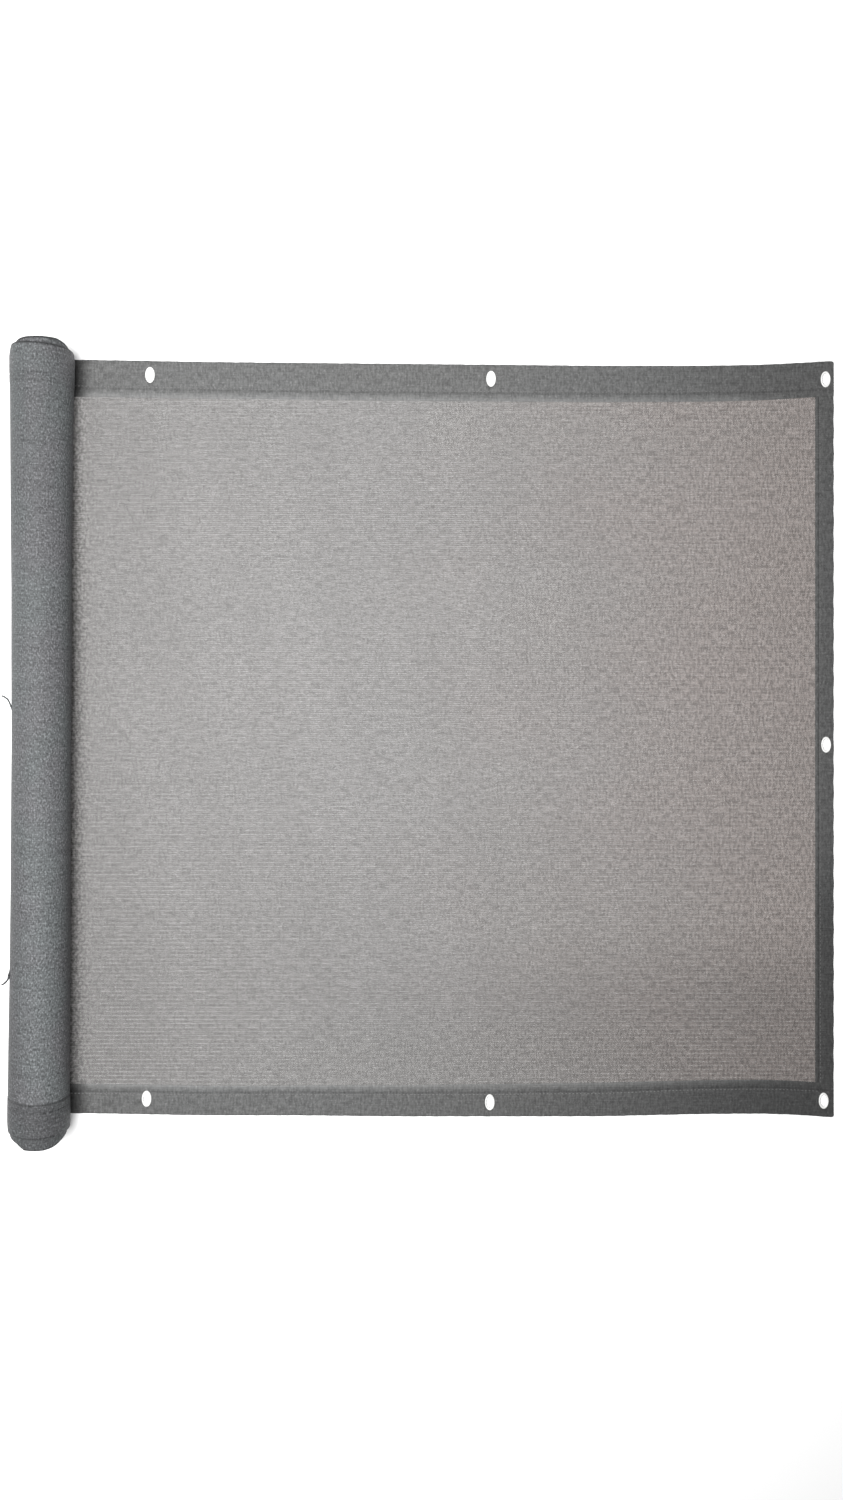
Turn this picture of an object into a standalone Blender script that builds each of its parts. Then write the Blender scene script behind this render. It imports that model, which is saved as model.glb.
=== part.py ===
"""Balcony privacy screen: a long knitted cloth, part unrolled on a surface, the rest still wound on its roll.

Metres, +Z up, the cloth's length along X and its width along Y. The origin is at the middle of the
footprint, on the surface that the cloth lies on. The roll is at -X and its axis runs along Y.
"""

import math

import bmesh
import bpy
import numpy as np

# Outline of the unrolled length
RIGHT_EDGE_X = 0.4851
FIELD_START_X = -0.4396
TOP_HEM_WIDTH = 0.0420
BOTTOM_HEM_WIDTH = 0.0390
SIDE_HEM_WIDTH = 0.0215
# A row for each place along the cloth: x, the y of its top edge, the y of its bottom edge
EDGE_ROWS = (
    (-0.4396, 0.4530, -0.4458),
    (-0.4023, 0.4527, -0.4461),
    (-0.2710, 0.4503, -0.4485),
    (-0.1516, 0.4491, -0.4485),
    (-0.0323, 0.4479, -0.4497),
    (0.0871, 0.4467, -0.4497),
    (0.2064, 0.4455, -0.4497),
    (0.3258, 0.4455, -0.4473),
    (0.3974, 0.4467, -0.4473),
    (0.4452, 0.4491, -0.4497),
    (0.4750, 0.4509, -0.4521),
    (0.4851, 0.4515, -0.4527),
)

# Thicknesses and the gap between neighbours
FIELD_THICKNESS = 0.0012
HEM_THICKNESS = 0.0020
PIECE_GAP = 0.0003

# The wound length: one strip in a few coarse turns
TURNS = 9
STEPS_PER_TURN = 20
STRIP_THICKNESS = 0.0020
CORE_RADIUS = 0.0070
FLAT_SPOT_DROP = 0.0003
ROLL_BOTTOM_Y = -0.4458
CLOTH_WIDTH = 0.8988
# A row for each place across the cloth: share of its width from the bottom, x of the axis, outer radius
ROLL_ROWS = (
    (0.00, -0.4509, 0.0351),
    (0.07, -0.4504, 0.0346),
    (0.45, -0.4483, 0.0330),
    (0.92, -0.4470, 0.0355),
    (1.00, -0.4466, 0.0365),
)
# A row for each stage of the winding: turns in from the outside, how far the cloth has wandered along Y
WANDER_ROWS = (
    (0.0, 0.0000),
    (0.4, -0.0015),
    (1.0, 0.0050),
    (1.4, 0.0078),
    (2.2, -0.0060),
    (2.8, -0.0147),
    (3.8, -0.0030),
    (5.0, 0.0050),
    (6.5, -0.0080),
    (9.0, 0.0020),
)

# Eyelets: oval rings, taller than wide; radii are the tall ones
OVAL_WIDTH_SHARE = 0.635
RING_STEPS = 18
EYELET_HOLE_RADIUS = 0.0064
EYELET_BARREL_RADIUS = 0.0072
EYELET_LOWER_RADIUS = 0.0090
EYELET_UPPER_RADIUS = 0.01015
EYELET_CLEARANCE = 0.0005
LOWER_FLANGE_THICKNESS = 0.0005
RECESS_DEPTH = 0.0008
UPPER_FLANGE_THICKNESS = 0.0008
FLANGE_EDGE = 0.0005
HOLE_EDGE = 0.0006
CUTTER_REACH = 0.0020
# A row for each eyelet: name, the hem that holds it, x, y
EYELET_ROWS = (
    ("eyelet_top_left", "top_hem", -0.3301, 0.4344),
    ("eyelet_top_middle", "top_hem", 0.0764, 0.4298),
    ("eyelet_top_right", "top_hem", 0.4750, 0.4292),
    ("eyelet_side_middle", "side_hem", 0.4756, -0.0063),
    ("eyelet_bottom_left", "bottom_hem", -0.3342, -0.4282),
    ("eyelet_bottom_middle", "bottom_hem", 0.0748, -0.4324),
    ("eyelet_bottom_right", "bottom_hem", 0.4727, -0.4306),
)

# Colours, roughness and metallic values
FIELD_COLOUR = (0.40, 0.39, 0.385, 1.0)
HEM_COLOUR = (0.16, 0.16, 0.155, 1.0)
ROLL_COLOUR = (0.17, 0.18, 0.185, 1.0)
EYELET_COLOUR = (0.86, 0.86, 0.85, 1.0)
CLOTH_ROUGHNESS = 0.85
EYELET_ROUGHNESS = 0.35


def clear_scene():
    for obj in list(bpy.data.objects):
        bpy.data.objects.remove(obj, do_unlink=True)


def make_collection(name):
    collection = bpy.data.collections.new(name)
    bpy.context.scene.collection.children.link(collection)
    return collection


def make_material(name, colour, roughness):
    material = bpy.data.materials.new(name)
    material.use_nodes = True
    shader = material.node_tree.nodes["Principled BSDF"]
    shader.inputs["Base Color"].default_value = colour
    shader.inputs["Roughness"].default_value = roughness
    shader.inputs["Metallic"].default_value = 0.0
    return material


def grid_surface(name, columns, rows, place, collection):
    """A grid of faces whose corner (column, row) is moved to place(column, row)."""
    mesh = bpy.data.meshes.new(name)
    cage = bmesh.new()
    bmesh.ops.create_grid(cage, x_segments=columns, y_segments=rows, size=0.5)
    for vertex in cage.verts:
        column = round((vertex.co.x + 0.5) * columns)
        row = round((vertex.co.y + 0.5) * rows)
        vertex.co = place(column, row)
    cage.to_mesh(mesh)
    cage.free()
    obj = bpy.data.objects.new(name, mesh)
    collection.objects.link(obj)
    return obj


def give_thickness(obj, thickness, offset):
    """Solidify along the surface's normals: offset 1 grows outwards, offset -1 inwards."""
    shell = obj.modifiers.new("thickness", "SOLIDIFY")
    shell.thickness = thickness
    shell.offset = offset
    shell.use_even_offset = True


def turned_mesh(name, profile, closed):
    """The edges of an (r, z) profile, ready for a Screw modifier round Z."""
    mesh = bpy.data.meshes.new(name)
    points = [(r, 0.0, z) for r, z in profile]
    edges = [(i, i + 1) for i in range(len(points) - 1)]
    if closed:
        edges.append((len(points) - 1, 0))
    mesh.from_pydata(points, edges, [])
    return mesh


def turned_oval(name, mesh, x, y, collection):
    obj = bpy.data.objects.new(name, mesh)
    obj.location = (x, y, 0.0)
    obj.scale = (OVAL_WIDTH_SHARE, 1.0, 1.0)
    screw = obj.modifiers.new("turn", "SCREW")
    screw.steps = RING_STEPS
    screw.render_steps = RING_STEPS
    screw.use_merge_vertices = True
    screw.merge_threshold = 0.00001
    collection.objects.link(obj)
    return obj


def top_edge(x):
    return float(np.interp(x, [row[0] for row in EDGE_ROWS], [row[1] for row in EDGE_ROWS]))


def bottom_edge(x):
    return float(np.interp(x, [row[0] for row in EDGE_ROWS], [row[2] for row in EDGE_ROWS]))


def inner_top(x):
    return top_edge(x) - TOP_HEM_WIDTH - PIECE_GAP


def inner_bottom(x):
    return bottom_edge(x) + BOTTOM_HEM_WIDTH + PIECE_GAP


def flat_strip(name, xs, lower, upper, thickness, collection):
    """A flat piece on the surface, a column for each x, between the curves lower(x) and upper(x)."""
    obj = grid_surface(
        name,
        len(xs) - 1,
        1,
        lambda column, row: (xs[column], (lower, upper)[row](xs[column]), 0.0),
        collection,
    )
    give_thickness(obj, thickness, 1.0)
    return obj


def edge_columns(start, end):
    """The table's places between start and end, with both ends."""
    return [start] + [row[0] for row in EDGE_ROWS if start < row[0] < end] + [end]


def hem_strips(collection, material):
    """The hems along the long edges, which run over the corners, and the end hem between them."""
    long_xs = edge_columns(FIELD_START_X, RIGHT_EDGE_X)
    side_xs = edge_columns(RIGHT_EDGE_X - SIDE_HEM_WIDTH, RIGHT_EDGE_X)
    outlines = {
        "top_hem": (long_xs, lambda x: top_edge(x) - TOP_HEM_WIDTH, top_edge),
        "bottom_hem": (long_xs, bottom_edge, lambda x: bottom_edge(x) + BOTTOM_HEM_WIDTH),
        "side_hem": (side_xs, inner_bottom, inner_top),
    }
    strips = {}
    for name, (xs, lower, upper) in outlines.items():
        strips[name] = flat_strip(name, xs, lower, upper, HEM_THICKNESS, collection)
        strips[name].data.materials.append(material)
    return strips


def field(collection, material):
    """The open knit between the hems, lying flat from the roll to the end hem."""
    field_end = RIGHT_EDGE_X - SIDE_HEM_WIDTH - PIECE_GAP
    xs = edge_columns(FIELD_START_X, field_end)
    obj = flat_strip("screen_field", xs, inner_bottom, inner_top, FIELD_THICKNESS, collection)
    obj.data.materials.append(material)


def lift_off_angle(radius, pitch):
    """The angle at which the outermost turn leaves the surface beside its flat spot."""
    slope = pitch / (2.0 * math.pi)
    return (math.sqrt(slope * slope + 2.0 * radius * FLAT_SPOT_DROP) - slope) / radius


def wound_point(column, row):
    """A point of the wound strip's outer face.

    The strip starts flat on the surface beside the unrolled length, passes under the roll, climbs its
    far side and winds inwards as a spiral whose radius falls evenly to the core. Turn by turn it
    wanders along the roll, so that the roll's ends are uneven.
    """
    share, axis_x, radius = ROLL_ROWS[row]
    pitch = (radius - CORE_RADIUS) / TURNS
    if column == 0:
        return (FIELD_START_X - PIECE_GAP, ROLL_BOTTOM_Y + share * CLOTH_WIDTH, 0.0)
    angle = lift_off_angle(radius, pitch)
    if column > 1:
        angle = 2.0 * math.pi * (column - 1) / STEPS_PER_TURN
    turn = angle / (2.0 * math.pi)
    reach = radius - pitch * turn
    wander = float(np.interp(turn, [stage[0] for stage in WANDER_ROWS], [stage[1] for stage in WANDER_ROWS]))
    x = axis_x - reach * math.sin(angle)
    y = ROLL_BOTTOM_Y + share * CLOTH_WIDTH + wander
    z = max(0.0, radius - FLAT_SPOT_DROP - reach * math.cos(angle))
    return (x, y, z)


def wound_length(collection, material):
    columns = TURNS * STEPS_PER_TURN + 1
    obj = grid_surface("rolled_cloth", columns, len(ROLL_ROWS) - 1, wound_point, collection)
    give_thickness(obj, STRIP_THICKNESS, -1.0)
    obj.data.materials.append(material)


def eyelet_profile():
    """A two-flanged ring: rounded upper flange on the hem, barrel through it, lower flange let in below."""
    under = HEM_THICKNESS + PIECE_GAP
    top = under + UPPER_FLANGE_THICKNESS
    return [
        (EYELET_UPPER_RADIUS - FLANGE_EDGE, top),
        (EYELET_UPPER_RADIUS, under + PIECE_GAP),
        (EYELET_UPPER_RADIUS, under),
        (EYELET_BARREL_RADIUS, under),
        (EYELET_BARREL_RADIUS, LOWER_FLANGE_THICKNESS),
        (EYELET_LOWER_RADIUS, LOWER_FLANGE_THICKNESS),
        (EYELET_LOWER_RADIUS, 0.0),
        (EYELET_HOLE_RADIUS, 0.0),
        (EYELET_HOLE_RADIUS, top - HOLE_EDGE),
        (EYELET_HOLE_RADIUS + HOLE_EDGE, top),
    ]


def cutter_profile():
    """The hole for the barrel, widened below into the recess for the lower flange."""
    hole = EYELET_BARREL_RADIUS + EYELET_CLEARANCE
    recess = EYELET_LOWER_RADIUS + EYELET_CLEARANCE
    return [
        (0.0, HEM_THICKNESS + CUTTER_REACH),
        (hole, HEM_THICKNESS + CUTTER_REACH),
        (hole, RECESS_DEPTH),
        (recess, RECESS_DEPTH),
        (recess, -CUTTER_REACH),
        (0.0, -CUTTER_REACH),
    ]


def eyelets(strips, parts, cutters, material):
    ring_mesh = turned_mesh("eyelet_profile", eyelet_profile(), True)
    ring_mesh.materials.append(material)
    hole_mesh = turned_mesh("eyelet_hole_profile", cutter_profile(), False)
    for name, hem, x, y in EYELET_ROWS:
        turned_oval(name, ring_mesh, x, y, parts)
        cutter = turned_oval(name + "_hole", hole_mesh, x, y, cutters)
        cutter.hide_render = True
        cutter.display_type = "WIRE"
        cut = strips[hem].modifiers.new(name + "_hole", "BOOLEAN")
        cut.operation = "DIFFERENCE"
        cut.solver = "EXACT"
        cut.object = cutter


def build():
    clear_scene()
    parts = make_collection("balcony_privacy_screen")
    cutters = make_collection("cutters")
    hem_material = make_material("hem_cloth", HEM_COLOUR, CLOTH_ROUGHNESS)
    field(parts, make_material("field_knit", FIELD_COLOUR, CLOTH_ROUGHNESS))
    wound_length(parts, make_material("wound_knit", ROLL_COLOUR, CLOTH_ROUGHNESS))
    strips = hem_strips(parts, hem_material)
    eyelets(strips, parts, cutters, make_material("eyelet_white", EYELET_COLOUR, EYELET_ROUGHNESS))


build()
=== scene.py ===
# %% [markdown]
# # A balcony privacy screen, partly unrolled
#
# The object is a long knitted cloth, 0.9 m high and 5 m long, that is tied to a railing by the eyelets in
# its hems. Here 0.93 m of it lies flat and the rest is still wound on its roll. We look straight down on it.
#
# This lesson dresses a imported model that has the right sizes. Every new piece is a surface worked out with
# numpy: a function of two parameters on a grid, or a profile carried along a path. Lengths are in metres. X
# runs along the cloth, Y across it, and Z up from the floor.

import math

import bpy
import numpy as np
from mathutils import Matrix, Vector


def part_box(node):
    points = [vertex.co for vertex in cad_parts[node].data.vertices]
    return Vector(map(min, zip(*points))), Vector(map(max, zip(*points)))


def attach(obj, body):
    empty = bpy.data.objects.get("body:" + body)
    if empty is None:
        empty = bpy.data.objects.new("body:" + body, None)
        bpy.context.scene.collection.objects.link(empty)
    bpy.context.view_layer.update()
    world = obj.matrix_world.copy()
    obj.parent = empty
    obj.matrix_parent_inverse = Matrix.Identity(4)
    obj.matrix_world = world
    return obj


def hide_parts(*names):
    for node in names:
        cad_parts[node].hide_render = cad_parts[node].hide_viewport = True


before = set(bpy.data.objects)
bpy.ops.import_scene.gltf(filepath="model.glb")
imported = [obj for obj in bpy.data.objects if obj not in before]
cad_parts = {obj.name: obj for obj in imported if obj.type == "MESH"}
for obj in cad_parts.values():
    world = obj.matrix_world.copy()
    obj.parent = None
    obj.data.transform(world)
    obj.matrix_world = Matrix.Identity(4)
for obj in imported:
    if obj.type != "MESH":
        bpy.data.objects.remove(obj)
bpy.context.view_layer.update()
scene = bpy.context.scene
TURN = 2.0 * math.pi

# %% [markdown]
# ## The cloth's outline
#
# The free end is straight, but the long edges wander by a few millimetres, as soft cloth does, and so do the
# widths of the hems folded over there. One table gives the edges at a few places along the cloth, another the
# hems inwards from them, and a smooth curve runs between.

# %% Outline and hem widths
RIGHT_EDGE_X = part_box("top_hem")[1].x
FLAT_START_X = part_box("top_hem")[0].x - 0.0003
END_HEM_WIDTH = 0.0220
# A row for each place along the cloth: x, the y of its top edge, the y of its bottom edge
EDGE_ROWS = np.array([
    (-0.4396, 0.4530, -0.4458),
    (-0.4023, 0.4527, -0.4461),
    (-0.2710, 0.4503, -0.4485),
    (-0.1516, 0.4491, -0.4485),
    (-0.0323, 0.4479, -0.4497),
    (0.0871, 0.4467, -0.4497),
    (0.2064, 0.4455, -0.4497),
    (0.3258, 0.4455, -0.4470),
    (0.3974, 0.4467, -0.4464),
    (0.4452, 0.4491, -0.4480),
    (0.4750, 0.4509, -0.4503),
    (0.4851, 0.4515, -0.4509),
])
# A row for each place along the cloth: x, then for the top hem and for the bottom hem its width and how far
# its stitches are from the edge
HEM_ROWS = np.array([
    (-0.4396, 0.0444, 0.0330, 0.0352, 0.0258),
    (-0.2000, 0.0438, 0.0336, 0.0352, 0.0265),
    (0.0000, 0.0440, 0.0338, 0.0376, 0.0275),
    (0.1900, 0.0434, 0.0334, 0.0401, 0.0290),
    (0.3500, 0.0428, 0.0325, 0.0404, 0.0312),
    (0.4851, 0.0418, 0.0330, 0.0404, 0.0315),
])


def curve_through(rows, column):
    """A smooth function of x: straight lines between a table's rows, averaged over 30 mm."""
    reach = np.linspace(-0.015, 0.015, 9)
    return lambda x: np.mean([np.interp(x + shift, rows[:, 0], rows[:, column]) for shift in reach], axis=0)


top_edge, bottom_edge = [curve_through(EDGE_ROWS, k) for k in (1, 2)]
top_width, top_stitch, bottom_width, bottom_stitch = [curve_through(HEM_ROWS, k) for k in (1, 2, 3, 4)]


def top_inner(x):
    """The y where the top hem ends and the single layer begins."""
    return top_edge(x) - top_width(x)


def bottom_inner(x):
    return bottom_edge(x) + bottom_width(x)


flat_x = np.linspace(FLAT_START_X, RIGHT_EDGE_X, 200)
TOP_HEM_WIDTH = float(top_width(flat_x).mean())
BOTTOM_HEM_WIDTH = float(bottom_width(flat_x).mean())

# %% [markdown]
# ## From numbers to a mesh
#
# A grid of points becomes a mesh when every four neighbours are joined by a face. A sheet of cloth is two
# such grids, joined round the rim. A folded hem is a closed profile carried along a path, with a cap at each
# end. Each point also stores its place on the cloth, so that the knit follows it.

# %% Helpers that build meshes
def grid_faces(columns, rows, wrap=False, start=0):
    """Faces between neighbours of a grid whose point (c, r) has the number c * rows + r.

    A face goes (c, r), (c+1, r), (c+1, r+1), (c, r+1), and with wrap the last row joins the first.
    """
    c, r = np.meshgrid(np.arange(columns - 1), np.arange(rows if wrap else rows - 1), indexing="ij")
    after = (r + 1) % rows
    corners = [c * rows + r, (c + 1) * rows + r, (c + 1) * rows + after, c * rows + after]
    return start + np.stack(corners, axis=-1).reshape(-1, 4)


def placed(name, data):
    """A new object that holds a mesh, a light or a camera."""
    made = bpy.data.objects.new(name, data)
    scene.collection.objects.link(made)
    return made


def store_place(piece, place):
    """Stores metres along the cloth, metres across it and, on a hem, metres inwards from its stitches."""
    stored = piece.data.attributes.new("place_on_cloth", "FLOAT_VECTOR", "POINT")
    stored.data.foreach_set("vector", place.astype(np.float32).ravel())


def points_of(piece):
    """The mesh's points as an array of shape (number, 3)."""
    points = np.empty(len(piece.data.vertices) * 3)
    piece.data.vertices.foreach_get("co", points)
    return points.reshape(-1, 3)


def new_piece(name, points, faces, material=None, sharp_degrees=40.0):
    """A mesh object at the origin, its faces turned outwards, smooth but for edges over an angle.

    The volumes between the mesh's middle and each face's fan of triangles add up to less than nothing if the
    faces point inwards.
    """
    fans = np.array([(f[0], f[k], f[k + 1]) for f in faces for k in range(1, len(f) - 1)])
    a, b, c = (points[fans[:, k]] - points.mean(axis=0) for k in range(3))
    if (a * np.cross(b, c)).sum() < 0.0:
        faces = [list(reversed(f)) for f in faces]
    mesh = bpy.data.meshes.new(name)
    mesh.from_pydata(points.tolist(), [], [list(map(int, f)) for f in faces])
    mesh.shade_smooth()
    mesh.set_sharp_from_angle(angle=math.radians(sharp_degrees))
    mesh.validate()
    if material:
        mesh.materials.append(material)
    return placed(name, mesh)


def closed_sheet(name, upper, lower, place, material):
    """Two grids of points, shape (columns, rows, 3), joined round their four sides."""
    columns, rows = upper.shape[:2]
    count = columns * rows
    number = np.arange(count).reshape(columns, rows)
    faces = [grid_faces(columns, rows), grid_faces(columns, rows, start=count)[:, ::-1]]
    for side in (number[:, 0], number[::-1, -1], number[0, ::-1], number[-1, :]):
        rim = [side[1:], side[:-1], side[:-1] + count, side[1:] + count]
        faces.append(np.stack(rim, axis=-1))
    points = np.concatenate([upper.reshape(-1, 3), lower.reshape(-1, 3)])
    piece = new_piece(name, points, list(np.concatenate(faces)), material)
    store_place(piece, np.concatenate([place.reshape(-1, 3)] * 2))
    return piece


def capped_profile(name, rings, material=None):
    """A closed profile carried along a path: rings has shape (steps, points in the profile, 3)."""
    steps, around = rings.shape[:2]
    faces = list(grid_faces(steps, around, wrap=True))
    faces.append(np.arange(around))
    faces.append(np.arange(around)[::-1] + (steps - 1) * around)
    return new_piece(name, rings.reshape(-1, 3), faces, material)


def triangles_of(piece):
    """The piece's triangles with its modifiers on."""
    drawn = piece.evaluated_get(bpy.context.evaluated_depsgraph_get()).to_mesh()
    drawn.calc_loop_triangles()
    return len(drawn.loop_triangles)


# %% [markdown]
# ## A little help for shader nodes
#
# A knit is easiest to write as arithmetic on the place on the cloth. With these helpers, which add a node or
# two a call, a pattern reads like a formula.

# %% Shader helpers
class Recipe:
    """A material in the making, with short ways to add nodes."""

    def __init__(self, name):
        self.material = bpy.data.materials.new(name)
        self.material.use_nodes = True
        self.tree = self.material.node_tree
        self.shader = self.tree.nodes["Principled BSDF"]

    def feed(self, socket, value):
        """Links another node's output, or sets a plain number or colour."""
        if isinstance(value, bpy.types.NodeSocket):
            self.tree.links.new(value, socket)
        else:
            socket.default_value = value

    def add(self, kind, given, **settings):
        """A new node's outputs, with its settings made and its inputs fed."""
        made = self.tree.nodes.new(kind)
        for key, value in settings.items():
            setattr(made, key, value)
        for key, value in given.items():
            self.feed(made.inputs[key], value)
        return made.outputs

    def finish(self, **values):
        """Feeds the Principled shader's sockets: Base_Color stands for Base Color."""
        for key, value in values.items():
            self.feed(self.shader.inputs[key.replace("_", " ")], value)

    def math(self, operation, a, b=0.0, c=0.0):
        return self.add("ShaderNodeMath", {0: a, 1: b, 2: c}, operation=operation)[0]

    def times(self, a, b):
        return self.math("MULTIPLY", a, b)

    def plus(self, a, b):
        return self.math("ADD", a, b)

    def minus(self, a, b):
        return self.math("SUBTRACT", a, b)

    def size(self, a):
        """a without its sign."""
        return self.math("ABSOLUTE", a)

    def times_plus(self, a, b, c):
        """a times b, plus c."""
        return self.math("MULTIPLY_ADD", a, b, c)

    def ramp(self, value, low, high, out_low=0.0, out_high=1.0):
        """A soft step from out_low to out_high as value goes from low to high."""
        given = {"Value": value, "From Min": low, "From Max": high, "To Min": out_low, "To Max": out_high}
        return self.add("ShaderNodeMapRange", given, interpolation_type="SMOOTHSTEP")["Result"]

    def parts(self, vector):
        """The vector's x, y and z."""
        return self.add("ShaderNodeSeparateXYZ", {0: vector})

    def noise(self, vector, x, y, z=1.0, detail=1.0, roughness=0.5):
        """Noise from 0 to 1, with so many blobs a metre in each direction."""
        scaled = self.add("ShaderNodeVectorMath", {0: vector, 1: (x, y, z)}, operation="MULTIPLY")[0]
        given = {"Vector": scaled, "Scale": 1.0, "Detail": detail, "Roughness": roughness}
        return self.add("ShaderNodeTexNoise", given)["Fac"]

    def mix(self, share, a, b):
        """Colour a where share is 0, colour b where it is 1."""
        return self.add("ShaderNodeMix", {"Factor": share, "A": a, "B": b}, data_type="RGBA")["Result"]

    def scaled_colour(self, colour, factor):
        """A colour made lighter or darker by a factor."""
        return self.add("ShaderNodeVectorMath", {0: colour, "Scale": factor}, operation="SCALE")[0]

    def bump(self, height, strength, distance):
        given = {"Strength": strength, "Distance": distance, "Height": height}
        self.finish(Normal=self.add("ShaderNodeBump", given)["Normal"])


# %% [markdown]
# ## The knit
#
# The cloth is warp knitted from flat plastic yarn. Chains of small loops run along it, 2.4 mm apart, and thin
# tapes zigzag between them with narrow gaps. Every second chain is a little heavier: these are the fine lines
# that show from a step away. One layer lets some of the floor show through. In the wound cloth and the hems
# the next layer fills the gaps, which are painted darker: painted shade of the layer below.
#
# An image of the knit would repeat visibly and blur close up, so we write it as arithmetic. One saw-tooth
# gives the distance from the nearest chain and one sine the distance from the nearest tape. Where both are
# large there is a gap. Stretched noise makes the rows uneven.

# %% The knit materials
CHAIN_PITCH = 0.0024
TAPE_PITCH = 0.0014
TAPE_SLANT = 0.7
CHAIN_SHARE = 0.20
GAP_FROM, GAP_TO = 0.90, 1.00
# Two greys each: the flat cloth near the roll and at its free end, and patches in the hems and on the roll
FLAT_GREYS = (0.141, 0.137, 0.134, 1.0), (0.165, 0.146, 0.138, 1.0)
HEM_GREYS = (0.088, 0.087, 0.085, 1.0), (0.086, 0.088, 0.089, 1.0)
ROLL_GREYS = (0.083, 0.084, 0.088, 1.0), (0.080, 0.086, 0.088, 1.0)


def lighten(recipe, shade, *pairs):
    """Adds to a shade each value's distance from its middle, 0.5, times its amount."""
    for value, amount in pairs:
        shade = recipe.times_plus(recipe.minus(value, 0.5), amount, shade)
    return shade


class Knit:
    """The pattern's values, for the three knit materials."""

    def __init__(self, recipe):
        place = recipe.add("ShaderNodeAttribute", {}, attribute_name="place_on_cloth")["Vector"]
        along, across = recipe.parts(place)[:2]
        rows = recipe.math("DIVIDE", across, CHAIN_PITCH)
        row = recipe.math("FLOOR", rows)
        within = recipe.minus(recipe.math("FRACT", rows), 0.5)
        off_chain = recipe.minus(1.0, recipe.times(recipe.size(within), 2.0))
        self.chain = recipe.ramp(off_chain, CHAIN_SHARE * 0.4, CHAIN_SHARE * 1.6, 1.0, 0.0)
        hand = recipe.times_plus(recipe.math("MODULO", row, 2.0), 2.0 * TAPE_SLANT, -TAPE_SLANT)
        shift = recipe.add("ShaderNodeTexWhiteNoise", {"W": row}, noise_dimensions="1D")["Value"]
        slanted = recipe.times_plus(within, hand, shift)
        tapes = recipe.times_plus(along, 1.0 / TAPE_PITCH, slanted)
        self.off_tape = recipe.size(recipe.math("SINE", recipe.times(tapes, math.pi)))
        open_part = recipe.minus(self.off_tape, self.chain)
        wave = recipe.math("COSINE", recipe.times(across, math.pi / CHAIN_PITCH))
        shown = recipe.ramp(recipe.noise(place, 14.0, 34.0), 0.38, 0.62, 0.35, 1.0)
        self.heavy_rows = recipe.times(wave, shown)
        self.dashes = recipe.ramp(recipe.noise(place, 65.0, 480.0), 0.36, 0.64)
        self.ticks = recipe.ramp(recipe.noise(place, 400.0, 120.0), 0.36, 0.64)
        self.specks = recipe.noise(place, 430.0, 430.0, roughness=0.6)
        self.clouds = recipe.noise(place, 4.0, 6.0, detail=2.0)
        self.streaks = recipe.noise(place, 1.6, 60.0, detail=3.0)
        uneven = lighten(recipe, open_part, (self.specks, 0.06), (self.dashes, 0.02), (self.streaks, 0.02))
        self.gap = recipe.ramp(uneven, GAP_FROM, GAP_TO)
        self.along, self.across, self.place = along, across, place

    def height(self, recipe):
        """Height of the yarn for bump: chains stand highest, tapes are domed and gaps are low."""
        tape = recipe.minus(1.0, self.off_tape)
        return recipe.plus(recipe.times(tape, 0.6), recipe.times(self.chain, 0.7))


def finish_knit(recipe, colour, shade):
    """The yarn's colour times its shade, with the soft dull gloss of plastic yarn."""
    recipe.finish(Base_Color=recipe.scaled_colour(colour, shade), Roughness=0.58, Specular_IOR_Level=0.3)


def lower_corner_painted_shade(recipe, knit, across_from, across_to, darkest):
    """Painted shade: 1, falling to the darkest share near the lower corner of the cloth's free end."""
    low = recipe.ramp(knit.across, across_from, across_to, 1.0, 0.0)
    end = recipe.ramp(knit.along, -0.20, 0.45)
    return recipe.times_plus(recipe.times(low, end), darkest - 1.0, 1.0)


def field_knit():
    """One layer: gaps are open. It is warmer towards its free end, with painted shade and light beside the
    roll.
    """
    recipe = Recipe("field_knit")
    knit = Knit(recipe)
    beside_roll = recipe.ramp(knit.along, -0.430, -0.385, 1.0, 0.0)
    open_share = recipe.times(knit.gap, recipe.times_plus(beside_roll, -0.3, 1.0))
    recipe.finish(Alpha=recipe.minus(1.0, open_share))
    to_end = recipe.ramp(lighten(recipe, knit.along, (knit.clouds, 0.35)), -0.1, 0.5)
    colour = recipe.mix(to_end, *FLAT_GREYS)
    specks = knit.specks, recipe.times_plus(to_end, 0.28, 0.27)
    ticks = knit.ticks, recipe.times_plus(to_end, 0.20, 0.30)
    shade = lighten(recipe, 1.08, specks, (knit.dashes, 0.13), ticks)
    heavy_rows = recipe.times(knit.heavy_rows, recipe.times_plus(to_end, 0.07, 0.03))
    shade = recipe.plus(shade, heavy_rows)
    shade = recipe.times_plus(knit.chain, 0.24, shade)
    # Painted shade near the lower corner of the free end.
    shade = recipe.times(shade, lower_corner_painted_shade(recipe, knit, 0.12, 0.24, 0.75))
    # Painted shade and light beside the roll: dots of the cloth darkened or lightened, like gaps over shaded
    # floor.
    dots = recipe.noise(knit.place, 300.0, 300.0, detail=0.0)
    painted_dots_beside_roll = recipe.times(beside_roll, recipe.ramp(dots, 0.38, 0.60, 1.0, -1.3))
    shade = recipe.times(shade, recipe.times_plus(painted_dots_beside_roll, -0.30, 1.0))
    # Painted light close beside the roll, most towards the top of the cloth.
    painted_light_beside_roll = recipe.ramp(knit.along, -0.421, -0.398, 1.0, 0.0)
    painted_light_beside_roll = recipe.times(painted_light_beside_roll, recipe.ramp(knit.across, 0.50, 0.85, 0.22, 1.0))
    shade = recipe.times(shade, recipe.plus(1.0, painted_light_beside_roll))
    finish_knit(recipe, colour, shade)
    recipe.bump(knit.height(recipe), 0.5, 0.0004)
    return recipe.material


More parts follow.
